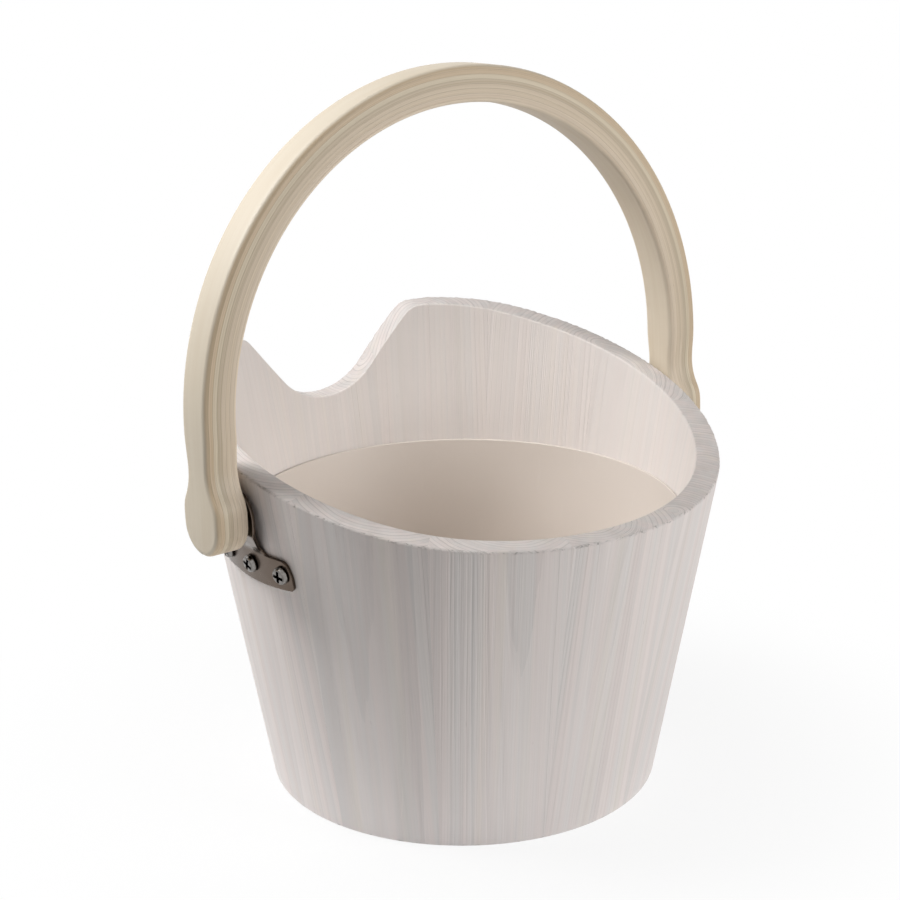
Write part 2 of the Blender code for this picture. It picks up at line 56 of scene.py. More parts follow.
# Staved body
FIT = 0.0003
STAVE_COUNT = 12
STAVE_TURN = 2 * math.pi / STAVE_COUNT
STAVE_GAP = 0.00003
BASE_RADIUS = 0.100
WALL_SLOPE = 0.180
WALL_ANGLE = math.atan(WALL_SLOPE)
WALL_THICKNESS = 0.0126
BASE_EDGE_ROUND = 0.002
RIM_EDGE_ROUND = 0.0013
STAVE_COLUMNS = 96
RIM_SOLVE_ROUNDS = 14

# Values for the points of a stave's section: six round the foot, then ten over the rim, from outside in
EDGE_STEPS = 4
FOOT_END_GRAIN = [1, 1, 0.8, 0.5, 0.2, 0]
RIM_END_GRAIN = [0, 0.25, 0.6, 0.9, 1, 1, 0.9, 0.6, 0.25, 0]
FOOT_WASH = [-0.12] * 6
RIM_WASH = [-0.13] * 3 + [-0.18] * 4 + [-0.06] * 3
# Painted light: the inner face of every stave is made lighter
INNER_PAINTED_LIGHT = 0.07
FOOT_COVER = [0] * 6
RIM_COVER = [0] * 6 + [0.3, 0.7, 1, 1]

# Figure of the wood: wear of the rim, shade of each stave, and where a stave's pith may lie in its log
WOOD_SEED = 11
RIM_WEAR = 0.55
RIM_WEAR_PITCH = 700
RIM_WEAR_STEP = 7.3
GRAIN_STEP = 0.7
TONE_SPREAD = 0.020
SIDE_CUT_SHARE = 0.4
SIDE_CUT_DEPTH = (0.008, 0.020)
SIDE_CUT_OFFSET = (0.030, 0.050)
FLAT_CUT_DEPTH = (0.024, 0.045)
FLAT_CUT_OFFSET = (-0.012, 0.012)
PITH_LEAN_OUT = (0.006, 0.018)
PITH_LEAN_SIDE = (-0.006, 0.006)

# Cuts of the two front staves, by number: pith behind the outer face and to the side, and its lean
FRONT_CUTS = {
    9: ((-0.031, 0.007), (0.011, 0.000)),
    10: ((-0.027, -0.010), (0.013, 0.002)),
}

# Rim and notch
RIM_FRONT_HEIGHT = 0.1623
RIM_BACK_HEIGHT = 0.2163
RIM_FRONT_CORNER = 0.1083
RIM_BACK_CORNER = 0.1060
RIM_FRONT_BLEND = 0.300
RIM_BACK_BLEND = 0.170
NOTCH_FLOOR_HEIGHT = 0.172
NOTCH_FLOOR_RADIUS = 0.038
NOTCH_FLANK_ANGLE = math.radians(49.0)
NOTCH_LIP_RADIUS = 0.018
NOTCH_MEETING_BLEND = 0.0025

# Bottom board and insert
BOARD_THICKNESS = 0.012
BOARD_HEIGHT = 0.009
BOARD_EDGE_ROUND = 0.0008
BOARD_EDGE_STEPS = 3
BOARD_PITH_DEPTH = 0.045
BOARD_PITH_LEAN = 0.05
BOARD_SIDE_SHARE = 0.9
BOARD_GRAIN_START = 20.0
GROOVE_DEPTH = 0.005
INSERT_WALL = 0.0016
INSERT_FLOOR = 0.0020
INSERT_TOP_HEIGHT = 0.1404
INSERT_CORNER_RADIUS = 0.010
INSERT_LIP_ROUND = 0.0007
INSERT_SLACK = 0.0005
INSERT_EDGE_STEPS = 8
LATHE_SEGMENTS = 192

# Laminated handle
HANDLE_PIVOT_HEIGHT = 0.1656
HANDLE_LEAN = math.radians(2.66)
HANDLE_LEG_LENGTH = 0.0435
HANDLE_WIDTH = 0.0202
HANDLE_EDGE_ROUND = 0.0028
PLY_COUNT = 8
PLY_THICKNESS = 0.0021
PLY_GLUE_LINE = 0.0002
GLUE_GAP = 0.00004
LOBE_RADIUS = 0.0150
LOBE_STRAIGHT = 0.0050
WAIST_WIDTH = 0.0176
WAIST_HEIGHT = 0.0265
HANDLE_ARC_STEPS = 120
LEG_STEPS = 22
LOBE_STEPS = 14
EDGE_PLY_STEPS = 7
MIDDLE_PLY_STEPS = 2
PLY_GRAIN_STEP = 3.0
FACE_GAIN = 1.6
# Brightness of the pale faces of the outer and the inner plies; the inner face is raised as painted light
OUTER_FACE_PAINTED_LIGHT = 1.0
INNER_FACE_PAINTED_LIGHT = 1.25
PLY_TINTS = [
    (0.96, 0.88, 0.77), (0.94, 0.86, 0.76), (1.05, 1.05, 1.01), (0.87, 0.84, 0.79),
    (1.01, 0.98, 0.95), (1.07, 1.04, 1.01), (1.09, 1.06, 1.05), (1.20, 1.19, 1.20),
]

# Bracket, screws and pivots
PLATE_THICKNESS = 0.0015
PLATE_UPPER_EDGE = HANDLE_PIVOT_HEIGHT - 0.0174
PLATE_TIP_LOWER_EDGE = HANDLE_PIVOT_HEIGHT - 0.0321
PLATE_LOWER_EDGE = HANDLE_PIVOT_HEIGHT - 0.0346
PLATE_LOWER_ROUND = 0.230
PLATE_HALF_WIDTH = 0.0284
PLATE_UPPER_HALF_WIDTH = 0.0262
PLATE_CORNER_ROUND = 0.0045
PLATE_TIP_ROUND = 0.0025
NECK_HALF_WIDTH = 0.0095
NECK_ROUND = 0.003
NECK_FLARE = 4
BEND_START = 0.0020
EAR_RADIUS = 0.0140
EAR_SHOULDER_DROP = 0.0047
EAR_SHOULDER_ROUND = 0.0070
JOGGLE_RISE = 0.0115
JOGGLE_RADIUS = 0.0028
SHEET_EDGE_ROUND = 0.0003
SHEET_EDGE_SEGMENTS = 2
SHEET_OUTLINE_STEPS = 12
SHEET_BEND_STEPS = 8
SHEET_CELL = 0.0011
SHEET_SHARP_ANGLE = math.radians(50.0)
SHEET_MERGE = 1e-6
SCREW_HEIGHT = HANDLE_PIVOT_HEIGHT - 0.0248
SCREW_SPACING = 0.0224
SCREW_HEAD_RADIUS = 0.00475
SCREW_HEAD_HEIGHT = 0.0030
SCREW_SHANK_RADIUS = 0.0020
SCREW_LENGTH = 0.0105
SCREW_SEGMENTS = 48
SCREW_EDGE_STEPS = 6
SCREW_SEED = 5
CROWN_SHARE = 0.80
CROWN_ROUND_SHARE = 0.55
BRIM_ROUND_SHARE = 0.20
RECESS_REACH = 0.0036
RECESS_WIDTH = 0.0019
RECESS_DEPTH = 0.0019
RECESS_CUTTER_SHARE = 1.3
RECESS_MOUTH_SCALE = 1.05
RECESS_FLOOR_SCALE = 0.62
# Gain of the painted shade down in the recess, by depth
RECESS_PAINTED_SHADE_GAIN = 2
PIVOT_HEAD_HEIGHT = 0.0025
PIVOT_HEAD_GAP = 0.0009
WASHER_THICKNESS = 0.0010

# Meshes
MERGE_DISTANCE = 1e-7
SHARP_ANGLE = math.radians(38.0)
NEARLY_ALL = 0.999

# The span that most values of a noise lie in
NOISE_SPAN = (0.3, 0.7)

# Whitewashed pine: linear colours
PINE_COOL = (0.785, 0.738, 0.710)
PINE_WARM = (0.814, 0.732, 0.698)
PINE_DEEP_YEAR = (0.765, 0.682, 0.643)
PINE_AMBER = (0.805, 0.735, 0.650)
PINE_LATE_WOOD = (0.400, 0.365, 0.350)
PINE_TORN = (0.330, 0.290, 0.265)
PINE_SECOND_COAT = (0.836, 0.785, 0.750)

# Its growth rings in metres, where dark lines rise and fall in a ring, and their depth on side and end grain
RING_SPACING = 0.0025
RING_WANDER = 0.0036
RING_SHIVER = 0.0005
FINE_RINGS_PER_YEAR = 2.6
LATE_WOOD_RISE = (0.60, 0.95)
LATE_WOOD_FALL = (0.97, 1.0)
FINE_LINE_RISE = (0.40, 0.85)
FINE_LINE_FALL = (0.90, 1.0)
FINE_LINE_SHARE = 0.65
LINE_DEPTH = (0.14, 0.52)

# Its stains, torn edges without and with a second coat, contrasts in brightness, and relief
DEEP_YEAR_SHARE = 0.30
AMBER_SHARE = 0.42
SPECK_SHARE = 0.30
TORN_GAIN = (3.2, 0.6)
SECOND_COAT_SHARE = 0.5
YEAR_CONTRAST = 0.085
FIBRE_CONTRAST = 0.08
STREAK_CONTRAST = 0.13
PINE_ROUGHNESS = (0.50, 0.66)
PINE_RELIEF = 0.00030
LATE_WOOD_RELIEF = -0.80
FINE_LINE_RELIEF = -0.55
MARK_RELIEF = -0.8
WOOD_BUMP = 0.45

# Laminated birch
BIRCH_EDGE_DARK = (0.549, 0.454, 0.337)
BIRCH_EDGE_LIGHT = (0.674, 0.586, 0.465)
BIRCH_EDGE_BAND = (0.502, 0.428, 0.327)
BIRCH_FACE = (0.575, 0.501, 0.395)
BIRCH_FACE_SILK = (0.593, 0.524, 0.419)
BIRCH_FACE_CLOUD = (0.542, 0.452, 0.331)
BIRCH_FLECK = (0.300, 0.210, 0.130)
BIRCH_GLUE = (0.330, 0.255, 0.170)
EDGE_WAVER = 0.9
EDGE_BAND_SHARE = 0.40
CLOUD_SHARE = 0.5
FLECK_SHARE = 0.45
GLUE_SPAN = (0.86, 0.94)
GLUE_DEPTH = (0.10, 0.38)
BIRCH_ROUGHNESS = (0.46, 0.60)
BIRCH_RELIEF = 0.00012
SILK_RELIEF = 0.5

# Plastic and steel, each between two near shades
PLASTIC_SHADES = ((0.716, 0.646, 0.584), (0.734, 0.667, 0.608))
PLASTIC_SCUFF = (0.850, 0.800, 0.740)
SCUFF_SHARE = 0.12
PLASTIC_ROUGHNESS = (0.40, 0.52)
PLASTIC_RELIEF = 0.00005
PLASTIC_BUMP = 0.35
# The sheet's base colours are darkened and browned below stainless: painted reflection of dark surroundings
SHEET_SHADES = ((0.116, 0.087, 0.068), (0.145, 0.112, 0.090))
SHEET_ROUGHNESS = (0.16, 0.28)
SHEET_RELIEF = 0.00003
SHEET_BUMP = 0.20
# The screws' base colours are darkened below plated steel: painted reflection of dark surroundings
SCREW_SHADES = ((0.185, 0.172, 0.162), (0.275, 0.262, 0.250))
SCREW_RECESS_PAINTED_SHADE = (0.030, 0.027, 0.025)
SCREW_ROUGHNESS = (0.12, 0.24)

# Stage, and softboxes: azimuth from +X towards +Y and elevation in degrees, distance, diameter, watts
WHITE = (1.0, 1.0, 1.0, 1.0)
LIGHT_TARGET = Vector((0.0, 0.0, 0.15))
AMBIENT = 0.05
FLOOR_COLOUR = (0.86, 0.86, 0.86, 1.0)
FLOOR_SHADOW_SHARE = 0.12
FLOOR_SHADOW_REACH = 0.30
FLOOR_HALF_SIZE = 12.0
TABLE_GLOW = 0.41
TABLE_GLOW_REACH = 0.40
TABLE_GLOW_COLOUR = (0.94, 1.0, 1.07, 1.0)
SOFTBOXES = {
    "left_softbox": (143.0, 40.0, 0.9, 0.38, 4.3),
    "high_left_softbox": (140.0, 58.0, 0.9, 0.38, 4.2),
    "right_softbox": (299.0, 20.0, 1.5, 0.80, 13.0),
}


def outer_radius(height):
    """Radius of the wall's outer face at a height."""
    return BASE_RADIUS + WALL_SLOPE * height


def inner_radius(height):
    """Radius of the wall's inner face at a height."""
    return outer_radius(height) - WALL_THICKNESS


EAR_INNER_X = outer_radius(HANDLE_PIVOT_HEIGHT) + PIVOT_HEAD_GAP + PIVOT_HEAD_HEIGHT + FIT
HANDLE_INNER_HALF_WIDTH = EAR_INNER_X + PLATE_THICKNESS + WASHER_THICKNESS + 2 * FIT
HANDLE_THICKNESS = PLY_COUNT * PLY_THICKNESS + (PLY_COUNT - 1) * PLY_GLUE_LINE
PIVOT = Matrix.Translation((0, 0, HANDLE_PIVOT_HEIGHT)) @ Matrix.Rotation(-HANDLE_LEAN, 4, "X")
SIDES = {"right": 0.0, "left": math.pi}


# Mesh helpers


def rounded(corners, steps, closed=True):
    """Points of an outline whose corners (x, y, radius) are turned into arcs."""
    points = []
    for index, (x, y, radius) in enumerate(corners):
        corner = Vector((x, y))
        is_end = not closed and index in (0, len(corners) - 1)
        if is_end or radius == 0:
            points.append(corner)
            continue
        before = (Vector(corners[index - 1][:2]) - corner).normalized()
        after = (Vector(corners[(index + 1) % len(corners)][:2]) - corner).normalized()
        half_angle = before.angle(after) / 2
        centre = corner + (before + after).normalized() * radius / math.sin(half_angle)
        first = corner + before * radius / math.tan(half_angle) - centre
        turn = first.angle_signed(corner + after * radius / math.tan(half_angle) - centre)
        for step in range(steps + 1):
            spoke = first.copy()
            spoke.rotate(Matrix.Rotation(-turn * step / steps, 2))
            points.append(centre + spoke)
    return points


def loft(name, rings):
    """Quads between closed rings of equally many points, capped at both ends."""
    count = len(rings[0])
    points = [point for ring in rings for point in ring]
    faces = []
    for ring in range(len(rings) - 1):
        here = ring * count
        there = here + count
        for index in range(count):
            after = (index + 1) % count
            faces.append((here + index, here + after, there + after, there + index))
    faces.append(tuple(range(count)))
    faces.append(tuple(range(len(points) - count, len(points))))
    mesh = bpy.data.meshes.new(name)
    mesh.from_pydata(points, [], faces)
    tidy(mesh, merge=False)
    return mesh


def lathe(name, profile, segments):
    """A (radius, height) profile turned about Z, with points on the axis merged."""
    rings = []
    for step in range(segments):
        turn = 2 * math.pi * step / segments
        rings.append([(r * math.cos(turn), r * math.sin(turn), z) for r, z in profile])
    count = len(profile)
    faces = []
    for ring in range(segments):
        here = ring * count
        there = (ring + 1) % segments * count
        for index in range(count - 1):
            faces.append((here + index, here + index + 1, there + index + 1, there + index))
    mesh = bpy.data.meshes.new(name)
    mesh.from_pydata([point for ring in rings for point in ring], [], faces)
    tidy(mesh, merge=True)
    return mesh


def tidy(mesh, merge):
    """Point the faces out, after merging points that coincide where that is asked for."""
    shape = bmesh.new()
    shape.from_mesh(mesh)
    if merge:
        bmesh.ops.remove_doubles(shape, verts=shape.verts, dist=MERGE_DISTANCE)
    bmesh.ops.recalc_face_normals(shape, faces=shape.faces)
    shape.to_mesh(mesh)
    shape.free()


def shade(mesh):
    """Smooth shading, with the corners left sharp."""
    mesh.shade_smooth()
    mesh.set_sharp_from_angle(angle=SHARP_ANGLE)


def store(mesh, name, kind, values):
    """Keep one value or vector for each point of a mesh, for its material."""
    attribute = mesh.attributes.new(name, kind, "POINT")
    for item, value in zip(attribute.data, values):
        if kind == "FLOAT":
            item.value = value
        else:
            item.vector = value


def add_piece(name, mesh, material, body, node):
    """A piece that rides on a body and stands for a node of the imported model."""
    piece = bpy.data.objects.new(name, mesh)
    bpy.context.scene.collection.objects.link(piece)
    mesh.materials.clear()
    mesh.materials.append(material)
    shade(mesh)
    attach(piece, body)
    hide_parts(node)
    return piece


# Material helpers


class Graph:
    """Nodes of a material or a world, added one after another."""

    def __init__(self, owner):
        owner.use_nodes = True
        self.owner = owner
        self.tree = owner.node_tree

    def feed(self, socket, value):
        """Link a socket to another one, or set it."""
        if isinstance(value, bpy.types.NodeSocket):
            self.tree.links.new(value, socket)
        else:
            socket.default_value = value

    def add(self, kind, inputs=None, **settings):
        """A new node with its settings and inputs."""
        node = self.tree.nodes.new(kind)
        for key, value in settings.items():
            setattr(node, key, value)
        for key, value in (inputs or {}).items():
            self.feed(node.inputs[key], value)
        return node

    def set(self, **inputs):
        """Inputs of the material's shader, by their names with _ for a space."""
        for key, value in inputs.items():
            self.feed(self.tree.nodes["Principled BSDF"].inputs[key.replace("_", " ")], value)

    def math(self, operation, first, second=0.0, third=0.0):
        return self.add("ShaderNodeMath", {0: first, 1: second, 2: third}, operation=operation).outputs[0]

    def vary(self, noise_value, contrast, base):
        """A base value, moved up and down by a noise."""
        return self.math("MULTIPLY_ADD", self.math("SUBTRACT", noise_value, 0.5), contrast, base)

    def attribute(self, name, output="Fac"):
        return self.add("ShaderNodeAttribute", attribute_name=name).outputs[output]

    def place(self):
        return self.add("ShaderNodeTexCoord").outputs["Object"]

    def scaled(self, vector, scale):
        node = self.add("ShaderNodeVectorMath", {0: vector, 1: scale}, operation="MULTIPLY")
        return node.outputs["Vector"]

    def brightened(self, colour, factor):
        node = self.add("ShaderNodeVectorMath", {0: colour, "Scale": factor}, operation="SCALE")
        return node.outputs["Vector"]

    def length(self, vector):
        return self.add("ShaderNodeVectorMath", {0: vector}, operation="LENGTH").outputs["Value"]

    def noise(self, vector, scale, detail=2.0, roughness=0.5):
        inputs = {"Vector": vector, "Scale": scale, "Detail": detail, "Roughness": roughness}
        return self.add("ShaderNodeTexNoise", inputs).outputs["Fac"]

    def figure(self, grain, scale, detail=2.0, roughness=0.5):
        """Noise with its own cells a metre on each axis; on wood the last axis runs along the grain."""
        return self.noise(self.scaled(grain, scale), 1.0, detail, roughness)

    def remap(self, value, low, high, to_low=0.0, to_high=1.0, kind="LINEAR"):
        inputs = {"Value": value, "From Min": low, "From Max": high, "To Min": to_low, "To Max": to_high}
        return self.add("ShaderNodeMapRange", inputs, interpolation_type=kind).outputs["Result"]

    def mix(self, share, first, second, blend="MIX"):
        """Two colours mixed; each is a socket or a plain colour."""
        node = self.add("ShaderNodeMix", data_type="RGBA", blend_type=blend)
        self.feed(node.inputs[0], share)
        self.feed(node.inputs[6], first if isinstance(first, bpy.types.NodeSocket) else (*first, 1.0))
        self.feed(node.inputs[7], second if isinstance(second, bpy.types.NodeSocket) else (*second, 1.0))
        return node.outputs[2]

    def bump(self, height, distance, strength):
        node = self.add("ShaderNodeBump", {"Height": height, "Distance": distance, "Strength": strength})
        self.set(Normal=node.outputs["Normal"])


# Materials


def pine_material():
    """Whitewashed pine: growth rings round each stave's own pith, fine fibres, brushed relief, specks."""
    graph = Graph(bpy.data.materials.new("whitewashed_pine"))
    grain = graph.attribute("grain", "Vector")
    end = graph.attribute("end")
    tone = graph.attribute("tone")
    cover = graph.attribute("cover")

    wander = graph.figure(grain, (45.0, 45.0, 2.2))
    shiver = graph.figure(grain, (260.0, 260.0, 16.0), 3.0)
    depth = graph.length(graph.scaled(grain, (1.0, 1.0, 0.0)))
    depth = graph.math("MULTIPLY_ADD", wander, RING_WANDER, depth)
    depth = graph.math("MULTIPLY_ADD", shiver, RING_SHIVER, depth)
    rings = graph.math("DIVIDE", depth, RING_SPACING)
    share = graph.math("FRACT", rings)
    year = graph.math("FLOOR", rings)
    weight = graph.add("ShaderNodeTexWhiteNoise", {"W": year}, noise_dimensions="1D").outputs["Value"]
    late = graph.remap(share, *LATE_WOOD_RISE, kind="SMOOTHERSTEP")
    late = graph.math("MULTIPLY", late, graph.remap(share, *LATE_WOOD_FALL, 1.0, 0.0))
    late = graph.math("MULTIPLY", late, graph.remap(weight, 0.2, 1.0, 0.15, 1.0))
    fine_share = graph.math("FRACT", graph.math("MULTIPLY", rings, FINE_RINGS_PER_YEAR))
    fine = graph.remap(fine_share, *FINE_LINE_RISE, kind="SMOOTHERSTEP")
    fine = graph.math("MULTIPLY", fine, graph.remap(fine_share, *FINE_LINE_FALL, 1.0, 0.0))
    groups = graph.figure(grain, (95.0, 95.0, 1.3))
    fine = graph.math("MULTIPLY", fine, graph.remap(groups, 0.47, 0.63))
    fibre = graph.figure(grain, (1100.0, 1100.0, 7.0), 2.0, 0.55)
    streak = graph.figure(grain, (130.0, 130.0, 1.5))
    blush = graph.figure(grain, (170.0, 170.0, 2.0))

    colour = graph.mix(graph.remap(blush, 0.36, 0.64), PINE_COOL, PINE_WARM)
    colour = graph.mix(graph.remap(weight, 0.60, 1.0, 0.0, DEEP_YEAR_SHARE), colour, PINE_DEEP_YEAR)
    amber = graph.figure(grain, (120.0, 120.0, 1.8))
    colour = graph.mix(graph.remap(amber, 0.54, 0.72, 0.0, AMBER_SHARE), colour, PINE_AMBER)
    lines = graph.math("MULTIPLY_ADD", fine, FINE_LINE_SHARE, late)
    lines = graph.math("MULTIPLY", lines, graph.remap(end, 0.0, 1.0, *LINE_DEPTH))
    colour = graph.mix(lines, colour, PINE_LATE_WOOD)
    specks = graph.remap(graph.figure(grain, (800.0, 800.0, 110.0), 1.0), 0.80, 0.84)
    edge = graph.math("MULTIPLY", end, graph.math("SUBTRACT", 1.0, end))
    bare = graph.math("MULTIPLY", edge, graph.remap(cover, 0.0, 1.0, *TORN_GAIN))
    torn = graph.remap(graph.figure(grain, (1100.0, 420.0, 300.0)), 0.55, 0.68)
    marks = graph.math("MULTIPLY_ADD", specks, SPECK_SHARE, graph.math("MULTIPLY", torn, bare))
    colour = graph.mix(marks, colour, PINE_TORN)

    light = graph.vary(weight, YEAR_CONTRAST, tone)
    light = graph.vary(fibre, FIBRE_CONTRAST, light)
    light = graph.vary(streak, STREAK_CONTRAST, light)
    colour = graph.brightened(colour, graph.math("ADD", light, 1.0))
    veil = graph.math("MULTIPLY", cover, SECOND_COAT_SHARE)
    graph.set(Base_Color=graph.mix(veil, colour, PINE_SECOND_COAT))
    graph.set(Roughness=graph.remap(fibre, *NOISE_SPAN, *PINE_ROUGHNESS))

    relief = graph.math("MULTIPLY_ADD", late, LATE_WOOD_RELIEF, fibre)
    relief = graph.math("MULTIPLY_ADD", fine, FINE_LINE_RELIEF, relief)
    relief = graph.math("MULTIPLY_ADD", marks, MARK_RELIEF, relief)
    graph.bump(relief, PINE_RELIEF, WOOD_BUMP)
    return graph.owner


def birch_material():
    """Bent birch veneers: pale faces, tan streaked edges, a hairline of glue between plies."""
    graph = Graph(bpy.data.materials.new("laminated_birch"))
    grain = graph.attribute("grain", "Vector")
    waver = graph.figure(grain, (0.0, 90.0, 22.0))
    face = graph.remap(graph.vary(waver, EDGE_WAVER, graph.attribute("face")), 0.25, 0.75)

    streak = graph.figure(grain, (1900.0, 260.0, 7.0), 3.0, 0.62)
    broad = graph.figure(grain, (420.0, 120.0, 5.0))
    silk = graph.figure(grain, (500.0, 500.0, 16.0))
    cloud = graph.figure(grain, (60.0, 60.0, 14.0))
    flecks = graph.remap(graph.figure(grain, (620.0, 620.0, 120.0), 1.0), 0.80, 0.85)
    depth = graph.add("ShaderNodeSeparateXYZ", {"Vector": grain}).outputs["X"]
    share = graph.math("FRACT", graph.math("DIVIDE", depth, PLY_THICKNESS + PLY_GLUE_LINE))
    glue = graph.math("MULTIPLY", graph.remap(share, *GLUE_SPAN), graph.math("SUBTRACT", 1.0, face))
    fade = graph.figure(grain, (300.0, 60.0, 8.0), 1.0)
    glue = graph.math("MULTIPLY", glue, graph.remap(fade, 0.38, 0.62, *GLUE_DEPTH))

    edge = graph.mix(graph.remap(streak, 0.32, 0.68), BIRCH_EDGE_DARK, BIRCH_EDGE_LIGHT)
    edge = graph.mix(graph.remap(broad, 0.50, 0.72, 0.0, EDGE_BAND_SHARE), edge, BIRCH_EDGE_BAND)
    edge = graph.mix(1.0, edge, graph.attribute("tint", "Vector"), blend="MULTIPLY")
    pale = graph.mix(graph.remap(silk, 0.35, 0.65), BIRCH_FACE, BIRCH_FACE_SILK)
    pale = graph.mix(graph.remap(cloud, 0.50, 0.75, 0.0, CLOUD_SHARE), pale, BIRCH_FACE_CLOUD)
    # Painted light: the inner face's pale colour is brightened over the outer face's
    pale = graph.brightened(pale, graph.attribute("painted_face_light"))
    colour = graph.mix(face, edge, pale)
    colour = graph.mix(graph.math("MULTIPLY", flecks, FLECK_SHARE), colour, BIRCH_FLECK)
    graph.set(Base_Color=graph.mix(glue, colour, BIRCH_GLUE))
    graph.set(Roughness=graph.remap(streak, *NOISE_SPAN, *BIRCH_ROUGHNESS))
    graph.bump(graph.math("MULTIPLY_ADD", silk, SILK_RELIEF, streak), BIRCH_RELIEF, WOOD_BUMP)
    return graph.owner


def plastic_material():
    """Smooth beige moulded plastic with a faint flow pattern and fine scuffs."""
    graph = Graph(bpy.data.materials.new("insert_plastic"))
    place = graph.place()
    cloud = graph.noise(place, 9.0, 3.0)
    grit = graph.noise(place, 1400.0)
    scuff = graph.figure(place, (260.0, 260.0, 30.0), 3.0)
    colour = graph.mix(graph.remap(cloud, 0.35, 0.65), *PLASTIC_SHADES)
    colour = graph.mix(graph.remap(scuff, 0.62, 0.80, 0.0, SCUFF_SHARE), colour, PLASTIC_SCUFF)
    graph.set(Base_Color=colour)
    graph.set(Roughness=graph.remap(scuff, *NOISE_SPAN, *PLASTIC_ROUGHNESS))
    graph.bump(grit, PLASTIC_RELIEF, PLASTIC_BUMP)
    return graph.owner


def sheet_material():
    """Polished stainless sheet with a faint rolling grain and a little haze; its base colours are darkened
    to paint in the reflection of dark surroundings.
    """
    graph = Graph(bpy.data.materials.new("stainless_sheet"))
    place = graph.place()
    haze = graph.noise(place, 160.0, 3.0)
    rolled = graph.figure(place, (2600.0, 260.0, 2600.0))
    graph.set(Base_Color=graph.mix(graph.remap(haze, *NOISE_SPAN), *SHEET_SHADES), Metallic=1.0)
    graph.set(Roughness=graph.remap(haze, *NOISE_SPAN, *SHEET_ROUGHNESS))
    graph.bump(rolled, SHEET_RELIEF, SHEET_BUMP)
    return graph.owner


def screw_material():
    """Plated screws, with painted shade down in the recess."""
    graph = Graph(bpy.data.materials.new("screw_steel"))
    haze = graph.noise(graph.place(), 900.0)
    colour = graph.mix(graph.remap(haze, *NOISE_SPAN), *SCREW_SHADES)
    # Painted shade down in the recess
    colour = graph.mix(graph.remap(graph.attribute("sunk"), 0.0, 0.5), colour, SCREW_RECESS_PAINTED_SHADE)
    graph.set(Base_Color=colour, Metallic=1.0)
    graph.set(Roughness=graph.remap(haze, *NOISE_SPAN, *SCREW_ROUGHNESS))
    return graph.owner


# Staved body


def rim_height(y):
    """The S curve of the rim along Y: a level front, a slope and a level back, blended by arcs."""
    slope = (RIM_BACK_HEIGHT - RIM_FRONT_HEIGHT) / (RIM_BACK_CORNER + RIM_FRONT_CORNER)
    angle = math.atan(slope)
    front_reach = RIM_FRONT_BLEND * math.tan(angle / 2)
    back_reach = RIM_BACK_BLEND * math.tan(angle / 2)
    front = -RIM_FRONT_CORNER - front_reach
    back = RIM_BACK_CORNER + back_reach
    if y <= front:
        return RIM_FRONT_HEIGHT
    if y <= -RIM_FRONT_CORNER + front_reach * math.cos(angle):
        return RIM_FRONT_HEIGHT + RIM_FRONT_BLEND - math.sqrt(RIM_FRONT_BLEND**2 - (y - front) ** 2)
    if y <= RIM_BACK_CORNER - back_reach * math.cos(angle):
        return RIM_FRONT_HEIGHT + slope * (y + RIM_FRONT_CORNER)
    if y <= back:
        return RIM_BACK_HEIGHT - RIM_BACK_BLEND + math.sqrt(RIM_BACK_BLEND**2 - (y - back) ** 2)
    return RIM_BACK_HEIGHT


def notch_height(x):
    """The notch seen along Y: a round floor, flanks at an angle and rounded lips, rising past them."""
    x = abs(x)
    sine, tangent = math.sin(NOTCH_FLANK_ANGLE), math.tan(NOTCH_FLANK_ANGLE)
    half_tangent = math.tan(NOTCH_FLANK_ANGLE / 2)
    floor_corner = NOTCH_FLOOR_RADIUS * half_tangent
    lip_corner = floor_corner + (RIM_BACK_HEIGHT - NOTCH_FLOOR_HEIGHT) / tangent
    lip_end = lip_corner + NOTCH_LIP_RADIUS * half_tangent
    if x <= NOTCH_FLOOR_RADIUS * sine:
        return NOTCH_FLOOR_HEIGHT + NOTCH_FLOOR_RADIUS - math.sqrt(NOTCH_FLOOR_RADIUS**2 - x**2)
    if x <= lip_end - NOTCH_LIP_RADIUS * sine:
        return NOTCH_FLOOR_HEIGHT + (x - floor_corner) * tangent
    if x <= lip_end:
        return RIM_BACK_HEIGHT - NOTCH_LIP_RADIUS + math.sqrt(NOTCH_LIP_RADIUS**2 - (x - lip_end) ** 2)
    return RIM_BACK_HEIGHT + (x - lip_end) ** 2 / NOTCH_LIP_RADIUS


def top_height(x, y):
    """Height of the rim over a point of the plan, with a soft meeting of notch and rim."""
    rim = rim_height(y)
    if y < 0:
        return rim
    notch = notch_height(x)
    share = min(max(0.5 + (notch - rim) / (2 * NOTCH_MEETING_BLEND), 0.0), 1.0)
    return notch + (rim - notch) * share - NOTCH_MEETING_BLEND * share * (1 - share)


def wall_top(radius_at, turn):
    """Height where the rim cuts a conical face of the wall at an angle about Z."""
    height = RIM_FRONT_HEIGHT
    for _ in range(RIM_SOLVE_ROUNDS):
        radius = radius_at(height)
        height = top_height(radius * math.cos(turn), radius * math.sin(turn))
    return height


def stave_profile(turn, wear):
    """Closed (radius, height) section of the wall at an angle about Z; wear rounds the rim's outer edge."""
    outer_top = wall_top(outer_radius, turn)
    inner_top = wall_top(inner_radius, turn)
    groove_low = BOARD_HEIGHT - FIT
    groove_high = BOARD_HEIGHT + BOARD_THICKNESS + FIT
    corners = [
        (inner_radius(0), 0, 0),
        (outer_radius(0), 0, BASE_EDGE_ROUND),
        (outer_radius(outer_top), outer_top, RIM_EDGE_ROUND * (1 + wear)),
        (inner_radius(inner_top), inner_top, RIM_EDGE_ROUND),
        (inner_radius(groove_high), groove_high, 0),
        (inner_radius(groove_high) + GROOVE_DEPTH, groove_high, 0),
        (inner_radius(groove_low) + GROOVE_DEPTH, groove_low, 0),
        (inner_radius(groove_low), groove_low, 0),
    ]
    return rounded(corners, EDGE_STEPS)


def section_values(foot, rim, inside, count):
    """A value for each point of a stave's section, listed for foot and rim and the same for the inside."""
    return foot + rim + [inside] * (count - len(foot) - len(rim))


